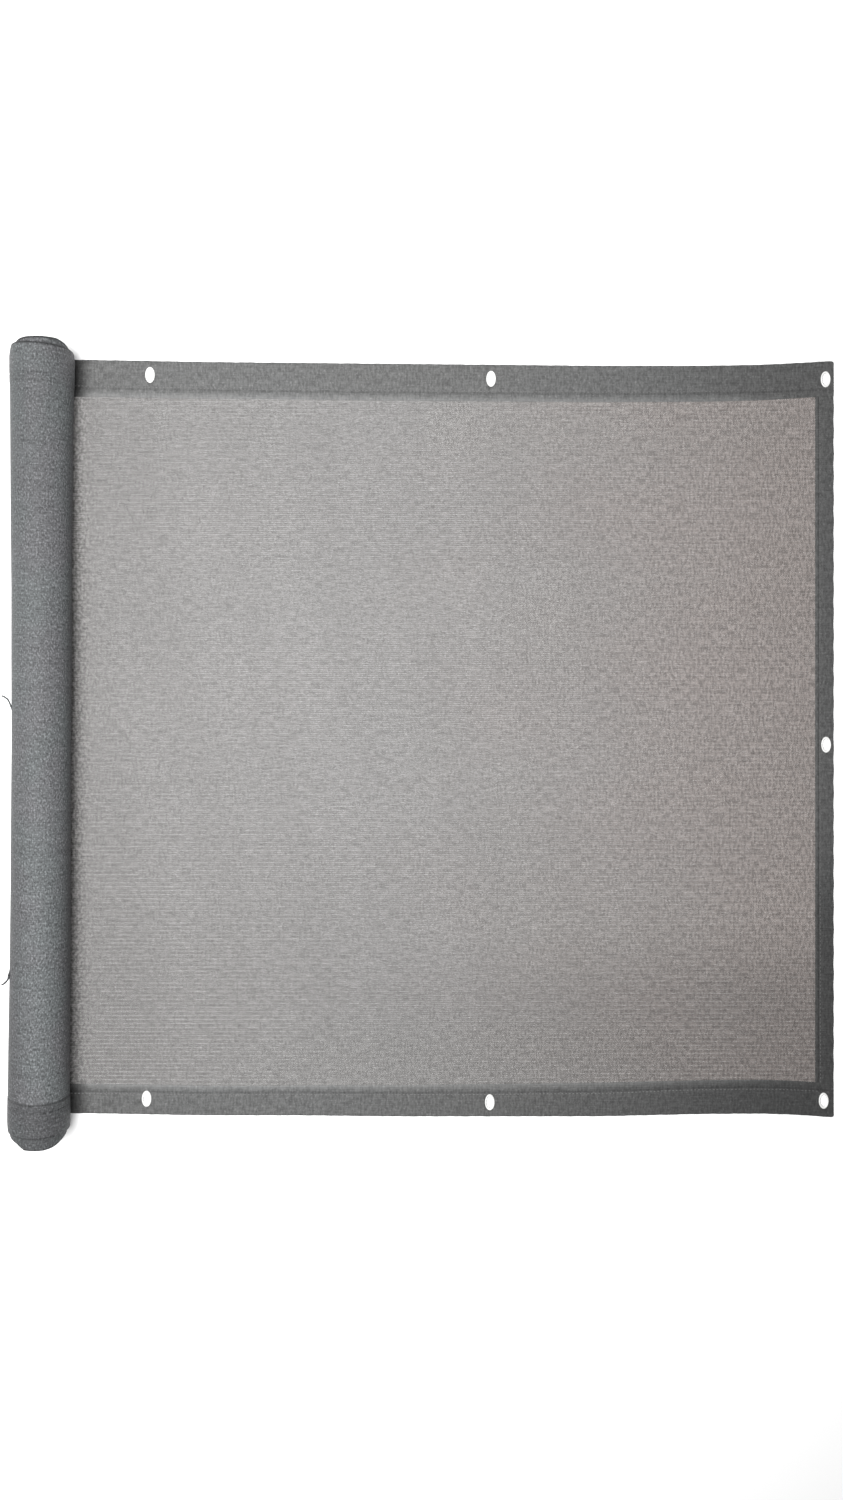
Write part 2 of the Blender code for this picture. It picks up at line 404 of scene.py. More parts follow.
def hem_knit():
    """Three layers, a groove at the stitches darkened by painted shade, and inside it two layers, lighter
    inwards.
    """
    recipe = Recipe("hem_knit")
    knit = Knit(recipe)
    past_stitches = recipe.parts(knit.place)[2]
    strip = recipe.ramp(past_stitches, 0.0010, 0.0105)
    strip = recipe.times(strip, recipe.ramp(knit.along, 0.36, 0.46, 1.0, 0.0))
    groove = recipe.ramp(recipe.size(past_stitches), 0.0004, 0.0020, 1.0, 0.0)
    colour = recipe.mix(knit.clouds, *HEM_GREYS)
    strip_tone = recipe.ramp(knit.across, 0.1, 0.8, 0.62, 0.50)
    shade = recipe.times_plus(strip, strip_tone, 1.0)
    shade = lighten(recipe, shade, (knit.specks, 0.8), (knit.dashes, 0.18), (knit.ticks, 0.34))
    flecks = recipe.noise(knit.place, 380.0, 300.0, roughness=0.4)
    shade = recipe.plus(shade, recipe.ramp(flecks, 0.62, 0.72, 0.0, 0.45))
    # Painted shade: the gaps are darker, as the layer below lies in shade.
    shade = recipe.times_plus(knit.gap, -0.22, shade)
    # Painted shade: in the groove at the stitches, towards the free end, at its lower corner, and where the
    # hem turns up into the roll.
    for tone in (
        recipe.times_plus(groove, -0.22, 1.0),
        recipe.ramp(knit.along, 0.20, 0.47, 1.0, 0.72),
        lower_corner_painted_shade(recipe, knit, 0.20, 0.37, 0.60),
        recipe.ramp(knit.along, -0.419, -0.400, 0.50, 1.0),
    ):
        shade = recipe.times(shade, tone)
    finish_knit(recipe, colour, shade)
    recipe.bump(knit.height(recipe), 0.4, 0.0003)
    return recipe.material


def wound_knit():
    """Many layers: gaps are painted dark with the shade of the layer below, and painted glints stand out
    more.

    The inner layers are painted lighter, in a tone that differs at random, so that their edges show at the
    roll's shaded ends: painted light.
    """
    recipe = Recipe("wound_knit")
    knit = Knit(recipe)
    patches = recipe.noise(knit.place, 22.0, 14.0, detail=2.0)
    colour = recipe.mix(recipe.ramp(patches, 0.35, 0.65), *ROLL_GREYS)
    # Glints: painted highlights of the yarn, with darker speckle between them.
    glints = recipe.noise(knit.place, 560.0, 360.0)
    shade = recipe.ramp(glints, 0.32, 0.52, 0.62, 1.0)
    shade = recipe.plus(shade, recipe.ramp(glints, 0.55, 0.70, 0.0, 0.78))
    shade = lighten(recipe, shade, (knit.dashes, 0.16), (knit.ticks, 0.22), (knit.streaks, 0.30))
    # Painted shade: the gaps are darker, as the layer below lies in shade.
    shade = recipe.times_plus(knit.gap, -0.38, shade)
    shade = recipe.times(shade, recipe.ramp(knit.across, BOTTOM_FLAP - 0.001, BOTTOM_FLAP, 0.74, 1.0))
    # Painted light: on the inner turns a random tone from 0.9 to 2.6 takes the place of the edges' painted
    # shade.
    inner = recipe.ramp(knit.along, -1.09, -1.04, 1.0, 0.0)
    layers = recipe.ramp(recipe.noise(knit.place, 7.0, 0.0), 0.38, 0.62, 0.9, 2.6)
    # Painted shade along the cloth's edges, the flaps and the stitches.
    seams = seam_painted_shade(recipe, knit.across)
    seams = recipe.times_plus(recipe.minus(layers, seams), inner, seams)
    # The seams' painted shade and the outer wrap's painted light and shade.
    shade = recipe.times(recipe.times(shade, seams), outer_wrap_painted_light(recipe, knit))
    finish_knit(recipe, colour, shade)
    recipe.bump(knit.height(recipe), 0.6, 0.0004)
    return recipe.material


def outer_wrap_painted_light(recipe, knit):
    """Painted light and shade, about 1 on the outer wrap: darker on its left flank, lighter on its right one
    or, lower down, its top.

    It fades out in the hems and leaves the layers inside as they are.
    """
    upper = recipe.ramp(knit.along, -0.590, -0.562, 0.28, 0.0)
    upper = recipe.plus(upper, recipe.ramp(knit.along, -0.550, -0.512, 0.0, -0.14))
    upper = recipe.plus(upper, recipe.ramp(knit.across, 0.62, 0.74, 0.0, -0.07))
    lower = recipe.ramp(knit.along, -0.565, -0.512, 0.21, -0.34)
    lower = recipe.plus(lower, recipe.ramp(knit.along, -0.605, -0.580, -0.20, 0.0))
    half = recipe.ramp(knit.across, 0.15, 0.55)
    tone = recipe.plus(lower, recipe.times(half, recipe.minus(upper, lower)))
    shown = recipe.times(recipe.ramp(knit.along, -0.66, -0.64), recipe.ramp(knit.across, 0.02, 0.06))
    shown = recipe.times(shown, recipe.ramp(knit.across, 0.855, 0.895, 1.0, 0.0))
    return recipe.times_plus(tone, shown, 1.0)


def seam_painted_shade(recipe, across):
    """Painted shade: 1 on the open cloth and darker along the cloth's edges, each hem's flap and its
    stitches.
    """
    shade = 0.97
    for line, reach, depth in SEAM_LINES:
        off = recipe.size(recipe.minus(across, line))
        shade = recipe.times(shade, recipe.ramp(off, reach * 0.3, reach, 1.0 - depth, 1.0))
    return shade


# %% [markdown]
# ## The wound cloth
#
# The roll is the cloth itself, wound 33 times. It could be a cylinder with a painted end, but each turn has
# wandered along the roll and the layers show at its ends. So it is one long sheet on a spiral, which passes
# under the roll, climbs the left side and winds inwards to a small hollow core. The hems are thicker than the
# rest, so the roll is fatter at its ends. It leans a little and rests on a flat strip.

# %% The roll's shape
WOUND_TURNS = 33
FINE_TURNS = 3
FINE_STEPS, STEPS = 64, 32
CORE_RADIUS = 0.0070
LOOSE_GAP = 0.0009
FLAP_PROUD = 1.6
DENT_DEPTH = 0.00022
FLAT_SPOT_DROP = 0.0003
WOUND_BOTTOM_Y = -0.4458
CLOTH_WIDTH = 0.8988
DRAWN_WIDER = 0.0042
DRAWN_DOWN = 0.0008
TOP_DRAWN_IN, BOTTOM_DRAWN_IN = 0.0034, 0.0014
END_REACH = 0.016
KNIT_THICKNESS = 0.00045
# A row for each place across the cloth: share of its width from the bottom, x of the axis, outer radius
ROLL_ROWS = np.array([
    (0.00, -0.4509, 0.0351),
    (0.07, -0.4508, 0.0347),
    (0.20, -0.4499, 0.0340),
    (0.45, -0.4486, 0.0333),
    (0.75, -0.4480, 0.0341),
    (0.92, -0.4473, 0.0356),
    (1.00, -0.4466, 0.0365),
])
# A pair for each stage of the winding: turns from the outside, how far the cloth has wandered along Y
WANDER_ROWS = np.array([
    (0.0, 0.0000), (0.25, 0.0010), (0.42, 0.0010), (0.50, -0.0004), (0.60, -0.0012), (0.71, -0.0020),
    (0.8, -0.0038), (1.0, -0.0036), (1.2, -0.0030), (1.32, -0.0031), (1.36, -0.0042), (1.42, -0.0068),
    (1.47, -0.0130), (1.53, -0.0140), (1.58, -0.0146), (1.63, -0.0136), (1.68, -0.0103), (1.73, -0.0071),
    (1.78, -0.0040), (2.0, -0.0036), (2.3, -0.0015), (2.38, 0.0018), (2.41, 0.0046), (2.46, 0.0062),
    (2.55, 0.0068), (2.63, 0.0066), (2.69, 0.0030), (2.75, -0.0025), (3.0, -0.0040), (3.5, 0.0010),
    (5.0, -0.0080), (7.0, -0.0040), (10.0, 0.0010), (14.0, 0.0055), (19.0, -0.0040), (25.0, -0.0080),
    (33.0, 0.0020),
])
# A pair for each place in from an edge of the wound cloth, as a share of the hem: thickness in mm
WOUND_HEM_ROWS = np.array([
    (0.000, 0.20), (0.010, 0.60), (0.030, 0.74), (0.100, 0.73), (0.200, 0.72),
    (0.300, 0.72), (0.600, 0.74), (0.735, 0.72), (0.765, 0.50), (0.795, 0.70),
    (0.940, 0.70), (0.985, 0.66), (1.015, 0.45), (1.400, 0.45),
])
TOP_FLAP, BOTTOM_FLAP = 0.0425, 0.0385
# A row for each line of painted shade along the wound cloth: metres from its bottom edge, how far it reaches,
# its depth
SEAM_LINES = [
    (0.0003, 0.0020, 0.30),
    (BOTTOM_FLAP * 0.765, 0.0016, 0.22),
    (BOTTOM_FLAP, 0.0018, 0.55),
    (CLOTH_WIDTH - TOP_FLAP, 0.0016, 0.22),
    (CLOTH_WIDTH - TOP_FLAP * 0.80, 0.0014, 0.10),
    (CLOTH_WIDTH - 0.0003, 0.0028, 0.70),
]


def across_rows():
    """Places across the cloth from its bottom edge, close together in the hems, and the thickness there."""
    share, thickness = WOUND_HEM_ROWS[:, 0], WOUND_HEM_ROWS[:, 1] * 0.001
    middle = np.linspace(0.10, CLOTH_WIDTH - 0.10, 9)
    across = np.concatenate([share * BOTTOM_FLAP, middle, CLOTH_WIDTH - share[::-1] * TOP_FLAP])
    return across, np.concatenate([thickness, np.full(len(middle), KNIT_THICKNESS), thickness[::-1]])


# %% The wound cloth as a spiral sheet
def rise(value, start, length):
    """0 up to the start, then evenly up to 1 over the length."""
    return np.clip((value - start) / length, 0.0, 1.0)


def wound_surface():
    """Points of the outer face of the wound cloth, with the way out of the roll at each.

    After t turns, at the angle a = 2 pi t, the radius r is the outer radius R less an even part of the way
    to the core, less a loose gap under the first turn. The point is (axis - r sin a, along the roll,
    R - drop - r cos a), never under the floor. On the first turn the hems stand proud and two sines dent the
    cloth. Over the last 16 mm at each end, r is drawn in at the roll's sides by sin a to the fourth power,
    half as much on the right. Along the roll, each turn wanders and the cloth is pulled a little wider.
    """
    across, thickness = across_rows()
    share = across / CLOTH_WIDTH
    axis_x = np.interp(share, ROLL_ROWS[:, 0], ROLL_ROWS[:, 1])
    radius = np.interp(share, ROLL_ROWS[:, 0], ROLL_ROWS[:, 2])
    turns = np.concatenate([
        np.arange(FINE_TURNS * FINE_STEPS) / FINE_STEPS,
        FINE_TURNS + np.arange((WOUND_TURNS - FINE_TURNS) * STEPS + 1) / STEPS,
    ])[:, None]
    angle = turns * TURN
    sine, cosine = np.sin(angle), np.cos(angle)
    loose = rise(turns, 0.85, 0.4)
    loose = LOOSE_GAP * loose * loose * (3.0 - 2.0 * loose)
    fall = (radius - CORE_RADIUS - LOOSE_GAP) * (turns / WOUND_TURNS)
    first = rise(turns, 0.08, 0.1) * rise(-turns, -0.95, 0.1)
    reach = radius - fall - loose + first * (thickness - KNIT_THICKNESS) * FLAP_PROUD
    dents = np.sin(3.0 * angle + 1.0) * np.sin(17.0 * share + 0.6)
    dents = dents + np.sin(2.0 * angle) * np.sin(29.0 * share)
    reach = reach + DENT_DEPTH * dents * first
    drawn_in = BOTTOM_DRAWN_IN * np.clip(1.0 - across / END_REACH, 0.0, 1.0) ** 2
    drawn_in = drawn_in + TOP_DRAWN_IN * np.clip(1.0 - (CLOTH_WIDTH - across) / END_REACH, 0.0, 1.0) ** 2
    at_sides = sine**4 * np.where(sine > 0.0, 1.0, 0.5) * rise(turns, 0.05, 0.15)
    reach = reach * (1.0 - at_sides * (drawn_in / radius))
    wander = np.interp(turns, WANDER_ROWS[:, 0], WANDER_ROWS[:, 1])
    x = axis_x - reach * sine
    y = WOUND_BOTTOM_Y + across + wander + rise(turns, 0.0, 0.3) * (DRAWN_WIDER * share - DRAWN_DOWN)
    z = np.maximum(radius - FLAT_SPOT_DROP - reach * cosine, 0.0)
    points = np.stack([x, y, z], axis=-1)
    out = np.stack([-sine, np.zeros_like(sine), -cosine], axis=-1)
    out = np.repeat(out, len(across), axis=1)
    run_in = points[:1].copy()
    run_in[..., 0] = FLAT_START_X
    run_in[..., 2] = 0.0
    points = np.concatenate([run_in, points])
    out = np.concatenate([out[:1], out])
    steps = np.linalg.norm(np.diff(points[:, len(across) // 2], axis=0), axis=1)
    along = np.concatenate([[0.0], -np.cumsum(steps)]) + FLAT_START_X
    return points, out, thickness, along, across


def make_wound_cloth():
    """The outer face is the spiral itself and the inner face lies one thickness further in."""
    points, out, thickness, along, across = wound_surface()
    inner = points - out * thickness[:, None]
    place = np.zeros_like(points)
    place[..., 0] = along[:, None]
    place[..., 1] = across
    return closed_sheet("wound_cloth", points, inner, place, wound_knit()), along[0] - along[-1]


wound_cloth, wound_length = make_wound_cloth()
print("wound length:", round(wound_length, 3), "m,", triangles_of(wound_cloth), "triangles")

# %% [markdown]
# ## Two frayed yarn ends
#
# Two yarns have worked loose on the roll's left flank and stand out by a few millimetres. Each is a small
# round section of uneven thickness, carried along a short bent path.

# %% The yarn ends as tubes along a path
YARN_ALONG = -0.52
YARN_SIDES = 6
# A row for each bend of a yarn: x, y, z, radius
LOWER_YARN = np.array([
    (-0.4785, -0.2580, 0.0500, 0.0008),
    (-0.4800, -0.2630, 0.0487, 0.0010),
    (-0.4813, -0.2666, 0.0480, 0.0012),
    (-0.4820, -0.2701, 0.0473, 0.0013),
    (-0.4829, -0.2723, 0.0468, 0.0011),
    (-0.4844, -0.2743, 0.0464, 0.0010),
    (-0.4864, -0.2762, 0.0460, 0.0012),
    (-0.4887, -0.2781, 0.0454, 0.0009),
    (-0.4908, -0.2790, 0.0450, 0.0010),
])
UPPER_YARN = np.array([
    (-0.4755, 0.0360, 0.0500, 0.0009),
    (-0.4773, 0.0394, 0.0488, 0.0011),
    (-0.4790, 0.0425, 0.0478, 0.0011),
    (-0.4804, 0.0456, 0.0472, 0.0010),
    (-0.4819, 0.0485, 0.0467, 0.0011),
    (-0.4836, 0.0507, 0.0463, 0.0011),
    (-0.4856, 0.0521, 0.0460, 0.0010),
    (-0.4879, 0.0535, 0.0455, 0.0009),
    (-0.4908, 0.0543, 0.0450, 0.0011),
])


def make_yarn_end(name, yarn_rows):
    """Rings of points round the path: the centre plus r cos a sideways and r sin a upwards."""
    rows = np.arange(len(yarn_rows))
    step = np.linspace(0.0, rows[-1], 4 * len(rows))
    centre = np.stack([np.interp(step, rows, yarn_rows[:, k]) for k in range(3)], axis=-1)
    radius = np.interp(step, rows, yarn_rows[:, 3])[:, None, None]
    ahead = np.gradient(centre, axis=0)
    sideways = np.stack([ahead[:, 1], -ahead[:, 0], np.zeros(len(ahead))], axis=-1)
    sideways = sideways / np.linalg.norm(sideways, axis=1)[:, None]
    angle = (np.arange(YARN_SIDES) * (TURN / YARN_SIDES))[:, None]
    rings = centre[:, None] + radius * (np.cos(angle) * sideways[:, None] + np.sin(angle) * [0.0, 0.0, 1.0])
    piece = capped_profile(name, rings, wound_cloth.data.materials[0])
    across = np.repeat(centre[:, 1] - WOUND_BOTTOM_Y, YARN_SIDES)
    store_place(piece, np.column_stack([np.full_like(across, YARN_ALONG), across, np.zeros_like(across)]))
    return piece


yarn_ends = [make_yarn_end("lower_yarn_end", LOWER_YARN), make_yarn_end("upper_yarn_end", UPPER_YARN)]
print("yarn ends:", [triangles_of(piece) for piece in yarn_ends], "triangles")

# %% [markdown]
# ## The flat knit
#
# The unrolled length is a single layer on the floor between the hems, flat but for very shallow waves left
# from the roll. It is a thin closed sheet with its gaps in the material: two hundred thousand cut gaps of a
# millimetre would cost far more than they show.

# %% The flat knit as a thin sheet
HEM_HEIGHT = 0.00135
FIELD_LIFT = 0.00008
WAVE_HEIGHT = 0.00020


def shallow_waves(x, y):
    """Height of the waves in the flat cloth: a few long sines that fade towards the hems, 0 to 1."""
    waves = (
        0.5
        + 0.22 * np.sin(61.0 * x + 3.0 * np.sin(5.0 * y))
        + 0.16 * np.sin(23.0 * x + 11.0 * y + 1.3)
        + 0.12 * np.sin(31.0 * y - 9.0 * x + 0.4)
    )
    inside = np.minimum(top_inner(x) - y, y - bottom_inner(x))
    inside = np.minimum(inside, RIGHT_EDGE_X - END_HEM_WIDTH - x)
    return waves * np.clip(inside / 0.03, 0.0, 1.0)


def make_flat_knit():
    """Columns along X and rows across between the hems. Its height is the waves and a small lift."""
    x = np.linspace(FLAT_START_X, RIGHT_EDGE_X - END_HEM_WIDTH, 161)[:, None]
    share = np.linspace(0.0, 1.0, 121)
    low = bottom_inner(x)
    high = top_inner(x)
    y = low + (high - low) * share
    x = np.broadcast_to(x, y.shape)
    height = FIELD_LIFT + WAVE_HEIGHT * shallow_waves(x, y)
    lower = np.stack([x, y, height], axis=-1)
    upper = np.stack([x, y, height + KNIT_THICKNESS], axis=-1)
    place = np.stack([x, y - WOUND_BOTTOM_Y, np.zeros_like(y)], axis=-1)
    return closed_sheet("flat_knit", upper, lower, place, field_knit())


flat_knit = make_flat_knit()
print("flat knit:", triangles_of(flat_knit), "triangles")

# %% [markdown]
# ## The hems
#
# Each edge is folded over and sewn down with one line of stitches: three layers outside that line and a
# strip of two inside it. A hem could be the flat sheet made thicker, but it has a round outer fold, a dip
# under the stitches and a low step to the single layer. So it is a closed profile carried along the edge. The
# long hems run over the corners, which are slightly round, and the end hem fits between them.

# %% The hems as a folded profile
HEM_KNIT = hem_knit()
# A pair for each point of the folded edge's upper side: distance in from the edge as a share of the
# stitch line's, height as a share of the hem's. The second table is the strip inside the stitches.
FOLD_ROWS = np.array([
    (0.000, 0.50), (0.008, 0.78), (0.025, 0.95), (0.060, 1.00), (0.300, 0.97),
    (0.600, 1.00), (0.930, 0.97), (0.975, 0.85), (1.000, 0.66),
])
STRIP_ROWS = np.array([
    (0.10, 0.76), (0.25, 0.82), (0.80, 0.80), (0.95, 0.72), (1.00, 0.52),
])
# A row for each point underneath: share of the hem's width, metres more, height as a share of the hem's
UNDER_ROWS = np.array([
    (0.995, 0.0, 0.12),
    (0.9, 0.0, 0.03),
    (0.5, 0.0, 0.03),
    (0.0, 0.0012, 0.03),
    (0.0, 0.0003, 0.20),
])
END_STITCH = END_HEM_WIDTH * 0.80
CORNER_RADIUS = 0.0035
CORNER_LENGTH = 0.006
END_ROUND = 0.0009
PUCKER_HEIGHT, END_PUCKER_HEIGHT = 0.0005, 0.0004
TOP_SEED, BOTTOM_SEED, END_SEED = 0.6, 2.1, 4.0


def hem_section(width, stitch):
    """The closed section of a hem, over the top and back underneath, for columns of widths and stitch lines.

    It gives the distances in from the edge, a row for each step along the hem, and the heights.
    """
    fold_in = stitch * FOLD_ROWS[:, 0]
    strip_in = stitch + (width - stitch) * STRIP_ROWS[:, 0]
    under_in = width * UNDER_ROWS[:, 0] + UNDER_ROWS[:, 1]
    heights = np.concatenate([FOLD_ROWS[:, 1], STRIP_ROWS[:, 1], UNDER_ROWS[:, 2]]) * HEM_HEIGHT
    return np.concatenate([fold_in, strip_in, under_in], axis=1), heights


def upper_side(section_z):
    """1 at the top of a hem's section, 0 underneath."""
    return np.clip((section_z / HEM_HEIGHT) * 2.0 - 0.6, 0.0, 1.0)


def puckers(along, inward, stitch, seed):
    """Small ripples that the stitches gather into a hem: two sines, strongest at the stitch line."""
    ripple = (
        0.5
        + 0.25 * np.sin(TURN * along / 0.0137 + seed)
        + 0.25 * np.sin(TURN * along / 0.0231 + 2.0 * seed)
    )
    return ripple * np.exp(-(((inward - stitch) / 0.010) ** 2))


def make_long_hem(name, width, stitch, edge, inward_sign, seed, curl):
    """A hem along X, whose section hangs inwards from the edge's curve at each step.

    Near the free end the corner's quarter circle takes the outer points inwards, and the section thins to a
    round fold. The outer edge stands up by curl and settles within 20 mm.
    """
    turned = np.sin(np.linspace(0.15, 1.0, 12) * math.pi / 2.0)
    x = np.concatenate([
        np.linspace(FLAT_START_X, RIGHT_EDGE_X - CORNER_LENGTH, 300),
        RIGHT_EDGE_X - CORNER_LENGTH * (1.0 - turned),
    ])[:, None]
    section_in, section_z = hem_section(width(x), stitch(x))
    from_end = RIGHT_EDGE_X - x
    cut = np.clip(1.0 - from_end / CORNER_RADIUS, 0.0, 1.0)
    inward = np.maximum(section_in, CORNER_RADIUS * (1.0 - np.sqrt(1.0 - cut**2)))
    thin = np.sqrt(np.clip(1.0 - np.clip(1.0 - from_end / END_ROUND, 0.0, 0.97) ** 2, 0.0, 1.0))
    middle = 0.5 * HEM_HEIGHT
    z = middle + (section_z - middle) * thin
    z = z + PUCKER_HEIGHT * puckers(x, inward, stitch(x), seed) * upper_side(section_z)
    z = z + curl * np.clip(1.0 - inward / 0.02, 0.0, 1.0) ** 2 * (0.7 + 0.3 * np.sin(9.0 * x + seed))
    ragged = 0.0001 * np.sin(TURN * x / 0.031 + seed) + 0.0001 * np.sin(TURN * x / 0.0125)
    y = edge(x) + inward_sign * inward + ragged * np.exp(-inward / 0.004)
    return capped_profile(name, np.stack([np.broadcast_to(x, y.shape), y, z], axis=-1), HEM_KNIT)


def make_end_hem():
    """The hem along Y at the free end, from the lower hem's inner edge to the upper hem's."""
    share = np.linspace(0.0, 1.0, 240)[:, None]
    section_in, section_z = hem_section(share * 0.0 + END_HEM_WIDTH, share * 0.0 + END_STITCH)
    x = RIGHT_EDGE_X - section_in
    start = bottom_inner(x)
    stop = top_inner(x)
    y = start + (stop - start) * share
    ragged = 0.0003 * np.sin(TURN * y / 0.027 + END_SEED) * np.exp(-section_in / 0.004)
    z = section_z + END_PUCKER_HEIGHT * puckers(y, section_in, END_STITCH, END_SEED) * upper_side(section_z)
    return capped_profile("end_hem_fold", np.stack([x + ragged, y, z], axis=-1), HEM_KNIT)


top_hem_fold = make_long_hem("top_hem_fold", top_width, top_stitch, top_edge, -1.0, TOP_SEED, 0.0005)
bottom_hem_fold = make_long_hem(
    "bottom_hem_fold", bottom_width, bottom_stitch, bottom_edge, 1.0, BOTTOM_SEED, 0.0006
)
end_hem_fold = make_end_hem()
hem_folds = {"top_hem": top_hem_fold, "bottom_hem": bottom_hem_fold, "side_hem": end_hem_fold}
print("hems:", {name: triangles_of(piece) for name, piece in hem_folds.items()})

# %% [markdown]
# ## Holes for the eyelets
#
# A punch cuts an oval hole through the hem's layers before the eyelet is set. Here the punch is an oval tube
# through the fold, taken away by a Boolean, whose result is kept as the mesh.

# %% Punch the holes
EYELET_NODES = [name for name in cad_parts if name.startswith("eyelet_")]
BARREL_RADIUS_X = 0.0049
BARREL_RADIUS_Y = 0.0077
PUNCH_LOW, PUNCH_HIGH = -0.005, 0.010


def oval_tube(name, centre, steps=48):
    """Two rings of an oval, one above the other, joined and capped."""
    angle = np.arange(steps) * (TURN / steps)
    x = centre.x + BARREL_RADIUS_X * np.cos(angle)
    y = centre.y + BARREL_RADIUS_Y * np.sin(angle)
    rings = np.stack([np.column_stack([x, y, np.full(steps, z)]) for z in (PUNCH_LOW, PUNCH_HIGH)])
    return capped_profile(name, rings)


def punch(piece, centres):
    """Takes an oval tube at each centre away from the piece. The new mesh gets its places on the cloth."""
    cutters = [oval_tube("punch", centre) for centre in centres]
    for cutter in cutters:
        cut = piece.modifiers.new("punch", "BOOLEAN")
        cut.operation = "DIFFERENCE"
        cut.solver = "EXACT"
        cut.object = cutter
    drawn = piece.evaluated_get(bpy.context.evaluated_depsgraph_get())
    punched = bpy.data.meshes.new_from_object(drawn)
    piece.modifiers.clear()
    piece.data = punched
    piece.data.name = piece.name
    for cutter in cutters:
        bpy.data.objects.remove(cutter)
    points = points_of(piece)
    if piece is end_hem_fold:
        past_stitches = RIGHT_EDGE_X - points[:, 0] - END_STITCH
    elif piece is top_hem_fold:
        past_stitches = top_edge(points[:, 0]) - points[:, 1] - top_stitch(points[:, 0])
    else:
        past_stitches = points[:, 1] - bottom_edge(points[:, 0]) - bottom_stitch(points[:, 0])
    store_place(piece, np.column_stack([points[:, 0], points[:, 1] - WOUND_BOTTOM_Y, past_stitches]))


def centre_of(node):
    low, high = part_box(node)
    return (low + high) / 2.0


HEM_OF = {"eyelet_top": "top_hem", "eyelet_bottom": "bottom_hem", "eyelet_side": "side_hem"}
for hem, piece in hem_folds.items():
    held = [name for name in EYELET_NODES if HEM_OF[name.rsplit("_", 1)[0]] == hem]
    punch(piece, [centre_of(name) for name in held])
    print(hem, "holds", len(held), "eyelets")

# %% [markdown]
# ## The eyelets
#
# An eyelet is a tube through the hem whose upper rim is rolled outwards into a smooth collar. These are white
# and oval, taller than wide: a closed profile turned round an oval path, with the collar's dome, the wall of
# the hole and the lower flange.

# %% The eyelets as a profile round an oval
OVAL_SHARE = 0.605
# A pair for each point of the section: radius along the tall axis, height
EYELET_ROWS = np.array([
    (0.00955, 0.00165), (0.00962, 0.00200), (0.00945, 0.00246), (0.00912, 0.00282), (0.00865, 0.00302),
    (0.00800, 0.00304), (0.00735, 0.00288), (0.00680, 0.00252), (0.00645, 0.00205), (0.00640, 0.00140),
    (0.00640, 0.00060), (0.00655, 0.00018), (0.00690, 0.00002), (0.00880, 0.00002), (0.00900, 0.00012),
    (0.00895, 0.00030), (0.00730, 0.00034), (0.00720, 0.00060), (0.00720, 0.00150), (0.00740, 0.00172),
])


def make_eyelet(node):
    """Each point of the section runs round an oval: x = share * r cos a, y = r sin a, z its height."""
    centre = centre_of(node)
    steps = 72
    angle = np.arange(steps) * (TURN / steps)
    radius, height = EYELET_ROWS[:, 0], EYELET_ROWS[:, 1]
    x = centre.x + OVAL_SHARE * radius * np.cos(angle)[:, None]
    y = centre.y + radius * np.sin(angle)[:, None]
    z = np.broadcast_to(height, x.shape)
    points = np.stack([x, y, z], axis=-1)
    rows = len(radius)
    faces = grid_faces(steps + 1, rows, wrap=True) % (steps * rows)
    piece = new_piece(node + "_ring", points.reshape(-1, 3), list(faces), EYELET_WHITE, sharp_degrees=60.0)
    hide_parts(node)
    return piece


def eyelet_white():
    """Smooth white, with faint scuffs that vary its gloss."""
    recipe = Recipe("eyelet_white")
    where = recipe.add("ShaderNodeTexCoord", {})["Object"]
    scuffs = recipe.noise(where, 900.0, 900.0, 900.0, detail=3.0)
    tone = recipe.mix(recipe.ramp(scuffs, 0.3, 0.8), (0.68, 0.68, 0.67, 1.0), (0.60, 0.60, 0.59, 1.0))
    recipe.finish(Base_Color=tone, Roughness=recipe.ramp(scuffs, 0.3, 0.8, 0.28, 0.45))
    recipe.bump(scuffs, 0.1, 0.0002)
    return recipe.material


EYELET_WHITE = eyelet_white()
eyelet_rings = [make_eyelet(node) for node in EYELET_NODES]
print(len(eyelet_rings), "eyelets of", triangles_of(eyelet_rings[0]), "triangles")

# %% [markdown]
# ## The stitches
#
# One line of grey thread holds each hem down. Every stitch is a short length that dips into the cloth at both
# ends, so it is a small low ellipsoid. One array operation copies it to all its places, just outside the
# groove that it pulls into the hem.

# %% The stitch lines
STITCH_PITCH = 0.0044
STITCH_LENGTH = 0.0029
STITCH_WIDTH = 0.0012
STITCH_HEIGHT = 0.0004
STITCH_OUTSIDE = 0.0016
STITCH_WEAVE = 0.0002
COVERED_X, COVERED_Y = 0.0080, 0.0118


def stitch_shape():
    """A closed low ellipsoid, as rings of a sphere: along, across and up, with its poles at the ends."""
    bands, around = 5, 6
    polar = np.linspace(0.0, math.pi, bands + 2)[1:-1]
    turn = np.arange(around) * (TURN / around)
    rings = np.stack([
        np.broadcast_to(np.cos(polar)[:, None], (bands, around)),
        np.sin(polar)[:, None] * np.cos(turn),
        np.sin(polar)[:, None] * np.sin(turn),
    ], axis=-1).reshape(-1, 3)
    points = np.concatenate([rings, [[1.0, 0.0, 0.0], [-1.0, 0.0, 0.0]]])
    points = points * np.array([STITCH_LENGTH / 2.0, STITCH_WIDTH / 2.0, STITCH_HEIGHT])
    quads = grid_faces(bands, around, wrap=True)
    number = np.arange(around)
    after = (number + 1) % around
    first = np.stack([np.full(around, len(rings)), number, after], axis=-1)
    last_ring = (bands - 1) * around
    last = np.stack([np.full(around, len(rings) + 1), last_ring + after, last_ring + number], axis=-1)
    return points, quads, np.concatenate([first, last])


